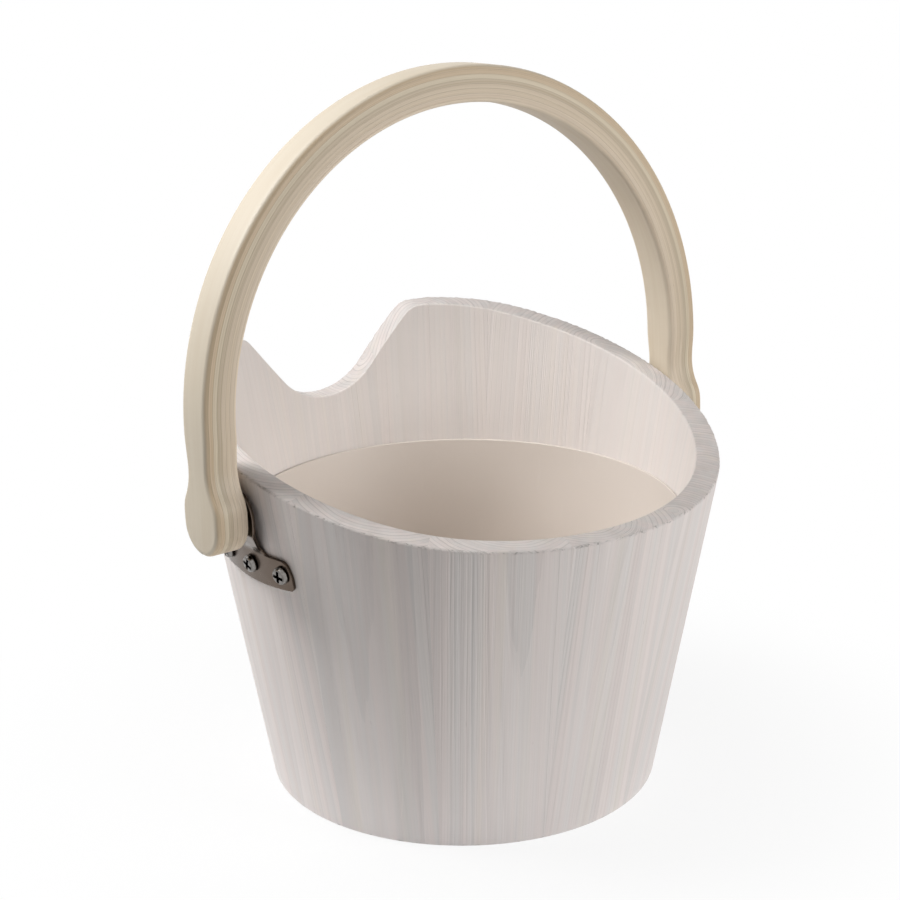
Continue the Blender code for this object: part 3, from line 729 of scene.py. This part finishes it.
def stave_mesh(index, pith, lean, shift):
    """One stave, with wood coordinates measured from its own pith line, in metres along its own axes."""
    middle = index * STAVE_TURN
    half = STAVE_TURN / 2 - STAVE_GAP / (2 * BASE_RADIUS)
    columns = []
    grain = []
    ends = []
    for step in range(STAVE_COLUMNS + 1):
        turn = -half + 2 * half * step / STAVE_COLUMNS
        worn = noise.noise((RIM_WEAR_PITCH * turn * BASE_RADIUS, index * RIM_WEAR_STEP, 0.0))
        profile = stave_profile(middle + turn, RIM_WEAR * worn)
        ring = []
        for radius, height in profile:
            ring.append((radius * math.cos(middle + turn), radius * math.sin(middle + turn), height))
            along = height / math.cos(WALL_ANGLE)
            out = (radius * math.cos(turn) - outer_radius(height)) * math.cos(WALL_ANGLE)
            side = radius * math.sin(turn)
            grain.append((out - pith[0] - lean[0] * along, side - pith[1] - lean[1] * along, along + shift))
        columns.append(ring)
        ends += section_values(FOOT_END_GRAIN, RIM_END_GRAIN, 0, len(profile))
    mesh = loft(f"wall_stave_{index + 1:02d}", columns)
    store(mesh, "grain", "FLOAT_VECTOR", grain)
    store(mesh, "end", "FLOAT", ends)
    return mesh


def stave_cut(draw):
    """Where a stave lies in its log: pith behind its outer face, and how that line leans along the stave."""
    if draw.random() < SIDE_CUT_SHARE:
        pith = (-draw.uniform(*SIDE_CUT_DEPTH), draw.choice((-1, 1)) * draw.uniform(*SIDE_CUT_OFFSET))
    else:
        pith = (-draw.uniform(*FLAT_CUT_DEPTH), draw.uniform(*FLAT_CUT_OFFSET))
    lean = (draw.uniform(*PITH_LEAN_OUT), draw.uniform(*PITH_LEAN_SIDE))
    return pith, lean


def build_staves(material):
    """Twelve staves, each cut from another place in the log, so that each has its own figure."""
    draw = random.Random(WOOD_SEED)
    for index in range(STAVE_COUNT):
        pith, lean = stave_cut(draw)
        mesh = stave_mesh(index, *FRONT_CUTS.get(index + 1, (pith, lean)), GRAIN_STEP * index)
        tone = draw.uniform(-TONE_SPREAD, TONE_SPREAD)
        count = len(mesh.vertices) // (STAVE_COLUMNS + 1)
        # Each stave's tone, with the wash of foot and rim and the painted light of the inside
        shades = [tone + wash for wash in section_values(FOOT_WASH, RIM_WASH, INNER_PAINTED_LIGHT, count)]
        cover = section_values(FOOT_COVER, RIM_COVER, 1, count)
        store(mesh, "tone", "FLOAT", shades * (STAVE_COLUMNS + 1))
        store(mesh, "cover", "FLOAT", cover * (STAVE_COLUMNS + 1))
        name = f"{index + 1:02d}"
        add_piece(f"wall_stave_{name}", mesh, material, "bucket", f"stave_{name}")


def build_board(material):
    """The round bottom board in the groove of the staves."""
    low = BOARD_HEIGHT
    high = BOARD_HEIGHT + BOARD_THICKNESS
    corners = [
        (0, high, 0),
        (inner_radius(high) + GROOVE_DEPTH - FIT, high, BOARD_EDGE_ROUND),
        (inner_radius(low) + GROOVE_DEPTH - FIT, low, BOARD_EDGE_ROUND),
        (0, low, 0),
    ]
    mesh = lathe("floor_board", rounded(corners, BOARD_EDGE_STEPS, closed=False), LATHE_SEGMENTS)
    grain = []
    for vertex in mesh.vertices:
        x, y, z = vertex.co
        depth = z + BOARD_PITH_DEPTH + BOARD_PITH_LEAN * x
        grain.append((depth, y * BOARD_SIDE_SHARE, x + BOARD_GRAIN_START))
    store(mesh, "grain", "FLOAT_VECTOR", grain)
    for name in ("end", "tone", "cover"):
        store(mesh, name, "FLOAT", [0.0] * len(mesh.vertices))
    add_piece("floor_board", mesh, material, "bucket", "bottom_board")


def build_insert(material):
    """A tapered cup that stands on the bottom board and follows the inside of the wall."""
    low = BOARD_HEIGHT + BOARD_THICKNESS + FIT
    top = INSERT_TOP_HEIGHT

    def outside(height):
        return inner_radius(height) - INSERT_SLACK

    corners = [
        (0, low + INSERT_FLOOR, 0),
        (outside(low + INSERT_FLOOR) - INSERT_WALL, low + INSERT_FLOOR, INSERT_CORNER_RADIUS - INSERT_WALL),
        (outside(top) - INSERT_WALL, top, INSERT_LIP_ROUND),
        (outside(top), top, INSERT_LIP_ROUND),
        (outside(low), low, INSERT_CORNER_RADIUS),
        (0, low, 0),
    ]
    mesh = lathe("water_insert", rounded(corners, INSERT_EDGE_STEPS, closed=False), LATHE_SEGMENTS)
    add_piece("water_insert", mesh, material, "insert", "insert")


# Laminated handle


def lobe_half_width(height):
    """Half width of the handle's leg over the pivot: round end, straight sides, waist, then full width."""
    waist = WAIST_WIDTH / 2
    full = HANDLE_WIDTH / 2
    rise = WAIST_HEIGHT - LOBE_STRAIGHT
    fillet = (waist**2 + rise**2 - LOBE_RADIUS**2) / (2 * (LOBE_RADIUS - waist))
    tangent = rise * LOBE_RADIUS / (LOBE_RADIUS + fillet)
    over_sides = max(height - LOBE_STRAIGHT, 0.0)
    if over_sides <= tangent:
        return math.sqrt(LOBE_RADIUS**2 - over_sides**2)
    if over_sides <= rise:
        return waist + fillet - math.sqrt(fillet**2 - (over_sides - rise) ** 2)
    share = min((height - WAIST_HEIGHT) / (HANDLE_LEG_LENGTH - WAIST_HEIGHT), 1.0)
    return waist + (full - waist) * share * share * (3 - 2 * share)


def edge_inset(depth):
    """How far the rounded edge pulls the side in at a depth below the handle's outer face."""
    from_face = max(min(depth, HANDLE_THICKNESS - depth), 0.0)
    if from_face >= HANDLE_EDGE_ROUND:
        return 0.0
    return HANDLE_EDGE_ROUND - math.sqrt(HANDLE_EDGE_ROUND**2 - (HANDLE_EDGE_ROUND - from_face) ** 2)


def leg_stations(inset):
    """(height, half width) pairs up one leg, from the round end to the foot of the arch."""
    end_radius = LOBE_RADIUS - inset
    stations = []
    for step in range(1, LOBE_STEPS):
        angle = math.pi / 2 * step / LOBE_STEPS
        stations.append((-end_radius * math.cos(angle), end_radius * math.sin(angle)))
    for step in range(LEG_STEPS):
        height = HANDLE_LEG_LENGTH * step / LEG_STEPS
        stations.append((height, lobe_half_width(height) - inset))
    return stations


def bow_line(depth):
    """(x, z, half width, distance along) over the whole bow at a depth below its outer face."""
    inset = edge_inset(depth)
    radius = HANDLE_INNER_HALF_WIDTH + HANDLE_THICKNESS - depth
    middle = HANDLE_INNER_HALF_WIDTH + HANDLE_THICKNESS / 2
    arch = math.pi * middle
    leg = leg_stations(inset)
    line = [(-radius, height, half, height) for height, half in leg]
    for step in range(HANDLE_ARC_STEPS + 1):
        angle = math.pi * (1 - step / HANDLE_ARC_STEPS)
        x = radius * math.cos(angle)
        z = HANDLE_LEG_LENGTH + radius * math.sin(angle)
        line.append((x, z, HANDLE_WIDTH / 2 - inset, HANDLE_LEG_LENGTH + arch * step / HANDLE_ARC_STEPS))
    whole = 2 * HANDLE_LEG_LENGTH + arch
    line += [(radius, height, half, whole - height) for height, half in reversed(leg)]
    return line


def ply_depths(index):
    """Depths of a ply's lines of points, close together where the handle's edge is rounded."""
    outer = index * (PLY_THICKNESS + PLY_GLUE_LINE)
    inner = outer + PLY_THICKNESS + PLY_GLUE_LINE - GLUE_GAP
    if index == PLY_COUNT - 1:
        inner = HANDLE_THICKNESS
    near_face = index in (0, 1, PLY_COUNT - 2, PLY_COUNT - 1)
    steps = EDGE_PLY_STEPS if near_face else MIDDLE_PLY_STEPS
    shares = [step / steps for step in range(steps + 1)]
    if index == 0:
        shares = [1 - math.cos(share * math.pi / 2) for share in shares]
    if index == PLY_COUNT - 1:
        shares = [math.sin(share * math.pi / 2) for share in shares]
    return [outer + (inner - outer) * share for share in shares]


def build_handle(material):
    """The plies, outermost first, lofted along the bow."""
    for index, tint in enumerate(PLY_TINTS):
        depths = ply_depths(index)
        rings = []
        grain = []
        face = []
        for stations in zip(*[bow_line(depth) for depth in depths]):
            ring = []
            for side in (-1, 1):
                order = range(len(depths)) if side < 0 else reversed(range(len(depths)))
                for line in order:
                    x, z, half, along = stations[line]
                    depth = depths[line]
                    ring.append(PIVOT @ Vector((x, side * half, z)))
                    grain.append((depth, side * half, along + PLY_GRAIN_STEP * index))
                    inset = edge_inset(depth) / HANDLE_EDGE_ROUND
                    face.append(min(1.0, FACE_GAIN * inset) if index in (0, PLY_COUNT - 1) else 0.0)
            rings.append(ring)
        mesh = loft(f"bow_ply_{index + 1}", rings)
        store(mesh, "grain", "FLOAT_VECTOR", grain)
        store(mesh, "face", "FLOAT", face)
        store(mesh, "tint", "FLOAT_VECTOR", [tint] * len(mesh.vertices))
        # Painted light on the inner face, set per ply
        light = OUTER_FACE_PAINTED_LIGHT if index == 0 else INNER_FACE_PAINTED_LIGHT
        store(mesh, "painted_face_light", "FLOAT", [light] * len(mesh.vertices))
        node = f"handle_ply_{index + 1}"
        add_piece(f"bow_ply_{index + 1}", mesh, material, "handle", node)


# Steel fittings


def bracket_outline():
    """Front view of the bracket: a round ear on a neck, and a plate with two wings."""
    ear_top = HANDLE_PIVOT_HEIGHT + EAR_RADIUS
    shoulder = HANDLE_PIVOT_HEIGHT - EAR_SHOULDER_DROP
    right = [
        (EAR_RADIUS, ear_top, NEARLY_ALL * EAR_RADIUS),
        (EAR_RADIUS, shoulder, EAR_SHOULDER_ROUND),
        (NECK_HALF_WIDTH, PLATE_UPPER_EDGE, NECK_ROUND),
        (PLATE_UPPER_HALF_WIDTH, PLATE_UPPER_EDGE, PLATE_CORNER_ROUND),
        (PLATE_HALF_WIDTH, (PLATE_UPPER_EDGE + PLATE_TIP_LOWER_EDGE) / 2, PLATE_CORNER_ROUND),
        (PLATE_HALF_WIDTH, PLATE_TIP_LOWER_EDGE, PLATE_TIP_ROUND),
    ]
    left = [(-y, z, radius) for y, z, radius in reversed(right)]
    return rounded(right + [(0, PLATE_LOWER_EDGE, PLATE_LOWER_ROUND)] + left, SHEET_OUTLINE_STEPS)


def tab_line():
    """Side view of the tab on its face towards the wall: up the wall, joggle, upright ear."""
    corners = [
        (outer_radius(PLATE_LOWER_EDGE) + FIT, PLATE_LOWER_EDGE - PLATE_THICKNESS, 0),
        (outer_radius(PLATE_UPPER_EDGE) + FIT, PLATE_UPPER_EDGE, JOGGLE_RADIUS),
        (EAR_INNER_X, PLATE_UPPER_EDGE + JOGGLE_RISE, JOGGLE_RADIUS),
        (EAR_INNER_X, HANDLE_PIVOT_HEIGHT + 2 * EAR_RADIUS, 0),
    ]
    return rounded(corners, SHEET_BEND_STEPS, closed=False)


def smooth(value):
    """A soft step from 0 to 1."""
    value = min(max(value, 0.0), 1.0)
    return value * value * (3 - 2 * value)


def sheet_place(y, z, tab):
    """How far out a point of the bracket's front view lies on its inner face; the neck leaves the wall."""
    on_wall = math.sqrt((outer_radius(z) + FIT) ** 2 - y**2)
    x = tab[-1][0]
    for low, high in zip(tab, tab[1:]):
        if low[1] <= z <= high[1]:
            x = low[0] + (high[0] - low[0]) * (z - low[1]) / (high[1] - low[1])
            break
    over = z - PLATE_UPPER_EDGE
    neck = NECK_HALF_WIDTH + max(over, 0.0) * NECK_FLARE
    bent = smooth((over - BEND_START + JOGGLE_RADIUS) / (2 * JOGGLE_RADIUS))
    lift = bent * smooth(1 - (abs(y) - neck) / NECK_ROUND)
    return on_wall + (x - on_wall) * lift


def slice_sheet(shape, place, normal):
    """Cut every face that a plane crosses."""
    geometry = shape.verts[:] + shape.edges[:] + shape.faces[:]
    bmesh.ops.bisect_plane(shape, geom=geometry, plane_co=place, plane_no=normal)


def bracket_mesh(name, turn):
    """The bracket's outline cut into small cells and bent to the wall and the joggle."""
    shape = bmesh.new()
    shape.faces.new([shape.verts.new((0, y, z)) for y, z in bracket_outline()])
    low = PLATE_LOWER_EDGE
    high = HANDLE_PIVOT_HEIGHT + EAR_RADIUS
    for level in range(1, int((high - low) / SHEET_CELL) + 1):
        slice_sheet(shape, (0, 0, low + level * SHEET_CELL), (0, 0, 1))
    wide = 2 * SHEET_CELL
    for column in range(-int(PLATE_HALF_WIDTH / wide), int(PLATE_HALF_WIDTH / wide) + 1):
        slice_sheet(shape, (0, column * wide, 0), (0, 1, 0))
    tab = tab_line()
    for point in shape.verts:
        point.co.x = sheet_place(point.co.y, point.co.z, tab)
    bmesh.ops.remove_doubles(shape, verts=shape.verts, dist=SHEET_MERGE)
    for face in shape.faces:
        if face.normal.x < 0:
            face.normal_flip()
    mesh = bpy.data.meshes.new(name)
    shape.to_mesh(mesh)
    shape.free()
    mesh.transform(Matrix.Rotation(turn, 4, "Z"))
    return mesh


def build_brackets(material):
    """Both brackets, given their thickness and eased edges."""
    for side, turn in SIDES.items():
        name = f"ear_bracket_{side}"
        mesh = bracket_mesh(name, turn)
        piece = add_piece(name, mesh, material, "bucket", f"bracket_{side}")
        thicken = piece.modifiers.new("thickness", "SOLIDIFY")
        thicken.thickness = PLATE_THICKNESS
        thicken.offset = 1.0
        thicken.use_even_offset = True
        soften = piece.modifiers.new("edges", "BEVEL")
        soften.width = SHEET_EDGE_ROUND
        soften.segments = SHEET_EDGE_SEGMENTS
        soften.limit_method = "ANGLE"
        soften.angle_limit = SHEET_SHARP_ANGLE


def screw_places():
    """Matrices of one bracket's screws, on the plate's outer face with +Z away from the wall."""
    places = []
    seat = FIT + PLATE_THICKNESS
    spread = SCREW_SPACING / outer_radius(SCREW_HEIGHT)
    for turn in (-spread, 0.0, spread):
        point = Vector((outer_radius(SCREW_HEIGHT) + seat / math.cos(WALL_ANGLE), 0, SCREW_HEIGHT))
        tilt = Matrix.Rotation(math.pi / 2 + WALL_ANGLE, 4, "Y")
        places.append(Matrix.Rotation(turn, 4, "Z") @ Matrix.Translation(point) @ tilt)
    return places


def recess_mesh():
    """A tapering cross, sunk into a screw head from above."""
    arm, half = RECESS_REACH, RECESS_WIDTH / 2
    quarter = [(half, -arm), (half, -half), (arm, -half)]
    outline = []
    for step in range(4):
        turn = Matrix.Rotation(step * math.pi / 2, 2)
        outline += [turn @ Vector(point) for point in quarter]
    mouth = (SCREW_HEAD_HEIGHT * RECESS_CUTTER_SHARE, RECESS_MOUTH_SCALE)
    bottom = (SCREW_HEAD_HEIGHT - RECESS_DEPTH, RECESS_FLOOR_SCALE)
    rings = []
    for height, scale in (mouth, bottom):
        rings.append([(scale * x, scale * y, height) for x, y in outline])
    return loft("recess", rings)


def screw_mesh(name):
    """A pan-head screw with a cross recess, its seat at height 0 and its head up."""
    corners = [
        (0, SCREW_HEAD_HEIGHT, 0),
        (CROWN_SHARE * SCREW_HEAD_RADIUS, SCREW_HEAD_HEIGHT, CROWN_ROUND_SHARE * SCREW_HEAD_HEIGHT),
        (SCREW_HEAD_RADIUS, FIT, BRIM_ROUND_SHARE * SCREW_HEAD_HEIGHT),
        (SCREW_SHANK_RADIUS, FIT, 0),
        (SCREW_SHANK_RADIUS, SCREW_SHANK_RADIUS - SCREW_LENGTH, 0),
        (0, -SCREW_LENGTH, 0),
    ]
    turned = lathe(name, rounded(corners, SCREW_EDGE_STEPS, closed=False), SCREW_SEGMENTS)
    blank = bpy.data.objects.new(name, turned)
    cutter = bpy.data.objects.new("recess", recess_mesh())
    for item in (blank, cutter):
        bpy.context.scene.collection.objects.link(item)
    cut = blank.modifiers.new("recess", "BOOLEAN")
    cut.operation = "DIFFERENCE"
    cut.solver = "EXACT"
    cut.object = cutter
    evaluated = blank.evaluated_get(bpy.context.evaluated_depsgraph_get())
    mesh = bpy.data.meshes.new_from_object(evaluated)
    for item in (blank, cutter):
        bpy.data.objects.remove(item)
    # Painted shade: points in the recess darken with depth
    sunk = []
    for vertex in mesh.vertices:
        inside = vertex.co.z > 0 and vertex.co.xy.length < RECESS_REACH
        depth = max(0.0, 1 - vertex.co.z / SCREW_HEAD_HEIGHT)
        sunk.append(depth * RECESS_PAINTED_SHADE_GAIN if inside else 0.0)
    store(mesh, "sunk", "FLOAT", sunk)
    return mesh


def build_screws(material):
    """Three screws in each bracket, each turned home to its own angle."""
    blank = screw_mesh("pan_screw")
    draw = random.Random(SCREW_SEED)
    for side, turn in SIDES.items():
        for index, place in enumerate(screw_places()):
            mesh = blank.copy()
            spin = Matrix.Rotation(draw.uniform(0, math.pi / 2), 4, "Z")
            mesh.transform(Matrix.Rotation(turn, 4, "Z") @ place @ spin)
            name = f"{side}_{index + 1}"
            add_piece(f"pan_screw_{name}", mesh, material, "bucket", f"bracket_screw_{name}")


def dress_pivots(sheet, steel):
    """Steel on the pivot screws and washers, which keep their solids."""
    for side in SIDES:
        for node, material in ((f"pivot_screw_{side}", steel), (f"pivot_washer_{side}", sheet)):
            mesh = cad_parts[node].data
            mesh.materials.clear()
            mesh.materials.append(material)


# Stage, lights and camera


def white_for_sight(graph):
    """1 for rays that show the background, by sight or mirrored or through glass, and 0 for the rest."""
    path = graph.add("ShaderNodeLightPath").outputs
    mirrored = graph.math("MAXIMUM", path["Is Camera Ray"], path["Is Glossy Ray"])
    return graph.math("MAXIMUM", mirrored, path["Is Transmission Ray"])


def build_world():
    """White where it is seen or mirrored, and a faint even light elsewhere."""
    world = bpy.data.worlds.new("studio")
    bpy.context.scene.world = world
    graph = Graph(world)
    background = graph.tree.nodes["Background"]
    graph.feed(background.inputs["Color"], WHITE)
    graph.feed(background.inputs["Strength"], graph.remap(white_for_sight(graph), 0.0, 1.0, AMBIENT, 1.0))


def table_glow(graph, distance):
    """Light through a translucent table, strongest under the object; sight rays don't see it."""
    fall = graph.remap(distance, 0.0, TABLE_GLOW_REACH, TABLE_GLOW, 0.0, kind="SMOOTHSTEP")
    unseen = graph.math("SUBTRACT", 1.0, white_for_sight(graph))
    strength = graph.math("MULTIPLY", fall, unseen)
    return graph.add("ShaderNodeEmission", {"Color": TABLE_GLOW_COLOUR, "Strength": strength}).outputs[0]


def floor_material():
    """White paper that looks white, with the soft shadow left in near the object."""
    graph = Graph(bpy.data.materials.new("studio_floor"))
    graph.tree.nodes.clear()
    distance = graph.length(graph.place())
    shadow = 1.0 - FLOOR_SHADOW_SHARE
    fade = graph.remap(distance, BASE_RADIUS, FLOOR_SHADOW_REACH, shadow, 1.0, kind="SMOOTHSTEP")
    share = graph.math("MULTIPLY", white_for_sight(graph), fade)
    paper = graph.add("ShaderNodeBsdfDiffuse", {"Color": FLOOR_COLOUR}).outputs[0]
    lit_table = graph.add("ShaderNodeAddShader", {0: paper, 1: table_glow(graph, distance)}).outputs[0]
    white = graph.add("ShaderNodeEmission").outputs[0]
    mixed = graph.add("ShaderNodeMixShader", {"Fac": share, 1: lit_table, 2: white}).outputs[0]
    graph.add("ShaderNodeOutputMaterial", {"Surface": mixed})
    return graph.owner


def build_floor():
    """The pale floor, which isn't part of the object."""
    shape = bmesh.new()
    bmesh.ops.create_grid(shape, x_segments=1, y_segments=1, size=FLOOR_HALF_SIZE)
    mesh = bpy.data.meshes.new("studio_floor")
    shape.to_mesh(mesh)
    shape.free()
    mesh.materials.append(floor_material())
    floor = bpy.data.objects.new("studio_floor", mesh)
    bpy.context.scene.collection.objects.link(floor)


def add_softbox(name, azimuth, elevation, distance, size, power):
    """A round softbox that looks at the middle of the bucket; both angles in degrees."""
    turn = Matrix.Rotation(math.radians(azimuth), 3, "Z") @ Matrix.Rotation(-math.radians(elevation), 3, "Y")
    away = turn @ Vector((1, 0, 0))
    light = bpy.data.lights.new(name, "AREA")
    light.shape = "DISK"
    light.size = size
    light.energy = power
    lamp = bpy.data.objects.new(name, light)
    lamp.location = LIGHT_TARGET + away * distance
    lamp.rotation_euler = (-away).to_track_quat("-Z", "Y").to_euler()
    bpy.context.scene.collection.objects.link(lamp)


def build_lights():
    """All the softboxes."""
    for name, settings in SOFTBOXES.items():
        add_softbox(name, *settings)


def build_camera():
    """The photograph's camera."""
    heading = Vector((math.sin(CAMERA_HEADING), math.cos(CAMERA_HEADING), 0))
    level = Vector((math.cos(CAMERA_HEADING), -math.sin(CAMERA_HEADING), 0))
    up = Vector((0, 0, 1))
    ahead = heading * math.cos(CAMERA_PITCH) - up * math.sin(CAMERA_PITCH)
    above = heading * math.sin(CAMERA_PITCH) + up * math.cos(CAMERA_PITCH)
    right = level * math.cos(CAMERA_ROLL) + above * math.sin(CAMERA_ROLL)
    top = above * math.cos(CAMERA_ROLL) - level * math.sin(CAMERA_ROLL)
    data = bpy.data.cameras.new("photo_camera")
    data.sensor_fit = "HORIZONTAL"
    data.sensor_width = CAMERA_SENSOR
    data.lens = CAMERA_LENS
    data.clip_start = CAMERA_CLIP_START
    camera = bpy.data.objects.new("photo_camera", data)
    turned = Matrix((right, top, -ahead)).transposed().to_4x4()
    camera.matrix_world = Matrix.Translation(CAMERA_PLACE) @ turned
    bpy.context.scene.collection.objects.link(camera)
    bpy.context.scene.camera = camera


build_camera()
build_world()
build_floor()
build_lights()
pine = pine_material()
sheet_steel = sheet_material()
screw_steel = screw_material()
build_staves(pine)
build_board(pine)
build_insert(plastic_material())
build_handle(birch_material())
build_brackets(sheet_steel)
build_screws(screw_steel)
dress_pivots(sheet_steel, screw_steel)

bpy.context.scene.view_settings.view_transform = "Standard"
